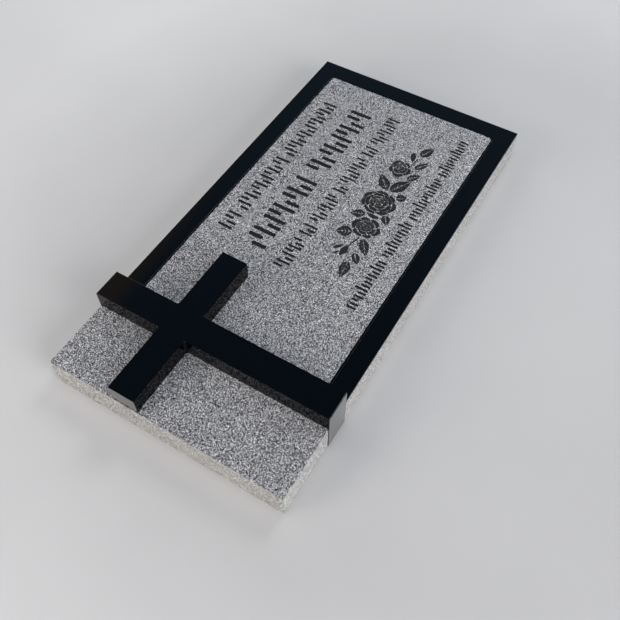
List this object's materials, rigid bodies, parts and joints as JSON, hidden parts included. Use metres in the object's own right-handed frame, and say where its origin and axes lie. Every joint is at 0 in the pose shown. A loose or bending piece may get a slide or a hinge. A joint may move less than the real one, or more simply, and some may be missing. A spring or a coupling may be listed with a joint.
{
  "type": "flat granite headstone",
  "caption": "Flat landscape grave marker: grey granite slab with a polished black border, a raised black cross and shallow carving.",
  "frame": {"origin": "middle of the underside, on the ground", "axes": "+X along the slab from the cross to the far end, +Y up across the carved rows, +Z up out of the face"},
  "size_m": [0.61, 0.3074, 0.066],
  "materials": {
    "grey_granite": "polished, speckled",
    "black_granite": "mirror polished"
  },
  "bodies": {
    "root": {"granite_slab": "grey_granite", "black_border": "black_granite", "cross": "black_granite"}
  },
  "joints": []
}
